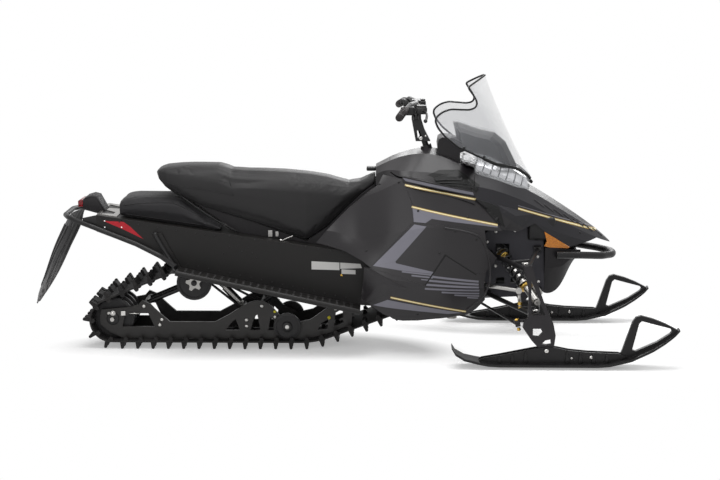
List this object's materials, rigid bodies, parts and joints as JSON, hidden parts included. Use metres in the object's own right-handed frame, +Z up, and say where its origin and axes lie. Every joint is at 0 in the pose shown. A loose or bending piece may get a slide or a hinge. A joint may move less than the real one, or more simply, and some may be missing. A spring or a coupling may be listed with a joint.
{
  "type": "snowmobile",
  "caption": "Sporty trail snowmobile with a lugged rubber track, loop-ended skis, double-arm front suspension, faceted body panels and a clear windshield.",
  "frame": {"origin": "on the floor, under the middle of the whole length and width", "axes": "+X forward, +Y to the rider's left, +Z up"},
  "size_m": [3.044, 1.22, 1.303],
  "materials": {
    "track_rubber": "moulded rubber",
    "wheel_black": "moulded wheels with rubber tyres",
    "steel": "plated steel",
    "rail_black": "black coated aluminium",
    "tunnel_black": "black painted aluminium sheet",
    "frame_black": "satin black powder coat",
    "flap_rubber": "dark grey rubber",
    "panel_plastic": "grained black plastic",
    "panel_gloss": "satin charcoal plastic with stripes",
    "lens_red": "red lens",
    "lens_orange": "orange reflector",
    "lens_clear": "clear lamp lens",
    "screen_clear": "clear bent plastic with smoked foot",
    "seat_vinyl": "black grained vinyl",
    "bag_fabric": "black woven nylon",
    "cast_grey": "cast aluminium, dull grey",
    "cast_black": "black forged aluminium",
    "exhaust_steel": "stainless pipe",
    "spring_black": "black coated coil",
    "damper_silver": "bare aluminium with brass fittings",
    "grip_rubber": "soft black rubber",
    "ski_plastic": "black moulded plastic"
  },
  "bodies": {
    "chassis": {"belly_pan": "panel_plastic", "bogie_wheels": "wheel_black", "carrier_wheels": "wheel_black", "console": "panel_plastic", "dash_pod": "panel_plastic", "drive_axle": "wheel_black", "engine": "cast_grey", "exhaust_outlet": "exhaust_steel", "front_bumper": "frame_black", "front_subframe": "cast_grey", "headlight": "lens_clear", "hood": "panel_gloss", "knee_panel_left": "panel_gloss", "knee_panel_right": "panel_gloss", "lower_arm_left": "frame_black", "lower_arm_right": "frame_black", "lower_panel_left": "panel_gloss", "lower_panel_right": "panel_gloss", "nose_pan": "panel_plastic", "rear_bumper": "frame_black", "rear_shock": "damper_silver", "rear_wheels": "wheel_black", "running_board_left": "tunnel_black", "running_board_right": "tunnel_black", "seat": "seat_vinyl", "seat_base": "panel_plastic", "side_panel_left": "panel_gloss", "side_panel_right": "panel_gloss", "side_reflectors": "lens_orange", "ski_shock_left": "damper_silver", "ski_shock_right": "damper_silver", "ski_springs": "spring_black", "skid_arms": "frame_black", "skid_axles": "steel", "slide_rails": "rail_black", "snow_flap": "flap_rubber", "storage_bag": "bag_fabric", "sway_bar": "steel", "tail_housing": "panel_plastic", "tail_lamp": "lens_red", "tail_plate": "damper_silver", "track": "track_rubber", "tunnel": "tunnel_black", "upper_arm_left": "frame_black", "upper_arm_right": "frame_black", "upper_panel_left": "panel_gloss", "upper_panel_right": "panel_gloss", "windshield": "screen_clear"},
    "steering": {"handlebar": "frame_black", "grips": "grip_rubber", "controls": "panel_plastic"},
    "pitman": {"pitman_arm": "frame_black"},
    "spindle_left": {"spindle_left": "cast_black"},
    "spindle_right": {"spindle_right": "cast_black"},
    "tie_rod_left": {"tie_rod_left": "frame_black"},
    "tie_rod_right": {"tie_rod_right": "frame_black"},
    "ski_left": {"ski_left": "ski_plastic"},
    "ski_right": {"ski_right": "ski_plastic"}
  },
  "joints": [
    {"name": "handlebar_turn", "type": "hinge", "parent": "chassis", "child": "steering", "pos_m": [0.384, 0, 0.915], "axis": [-0.3082, 0, 0.9513], "range_deg": [-30, 30]},
    {"name": "pitman_turn", "type": "hinge", "parent": "chassis", "child": "pitman", "pos_m": [0.691, 0, 0.24], "axis": [-0.2117, 0, 0.9773], "range_deg": [-30, 30]},
    {"name": "spindle_left_turn", "type": "hinge", "parent": "chassis", "child": "spindle_left", "pos_m": [0.872, 0.5, 0.228], "axis": [-0.2117, 0, 0.9773], "range_deg": [-30, 30]},
    {"name": "tie_rod_left_turn", "type": "hinge", "parent": "spindle_left", "child": "tie_rod_left", "pos_m": [0.785, 0.54, 0.196], "axis": [-0.2117, 0, 0.9773], "range_deg": [-30, 30]},
    {"name": "ski_left_pitch", "type": "hinge", "parent": "spindle_left", "child": "ski_left", "pos_m": [0.915, 0.54, 0.08], "axis": [0, -1, 0], "range_deg": [-10, 20]},
    {"name": "spindle_right_turn", "type": "hinge", "parent": "chassis", "child": "spindle_right", "pos_m": [0.872, -0.5, 0.228], "axis": [-0.2117, 0, 0.9773], "range_deg": [-30, 30]},
    {"name": "tie_rod_right_turn", "type": "hinge", "parent": "spindle_right", "child": "tie_rod_right", "pos_m": [0.785, -0.54, 0.196], "axis": [-0.2117, 0, 0.9773], "range_deg": [-30, 30]},
    {"name": "ski_right_pitch", "type": "hinge", "parent": "spindle_right", "child": "ski_right", "pos_m": [0.915, -0.54, 0.08], "axis": [0, -1, 0], "range_deg": [-10, 20]}
  ],
  "couplings": [
    {"joint": "pitman_turn", "follows": "handlebar_turn", "ratio": 1},
    {"joint": "spindle_left_turn", "follows": "handlebar_turn", "ratio": 1},
    {"joint": "tie_rod_left_turn", "follows": "handlebar_turn", "ratio": -1},
    {"joint": "spindle_right_turn", "follows": "handlebar_turn", "ratio": 1},
    {"joint": "tie_rod_right_turn", "follows": "handlebar_turn", "ratio": -1}
  ]
}
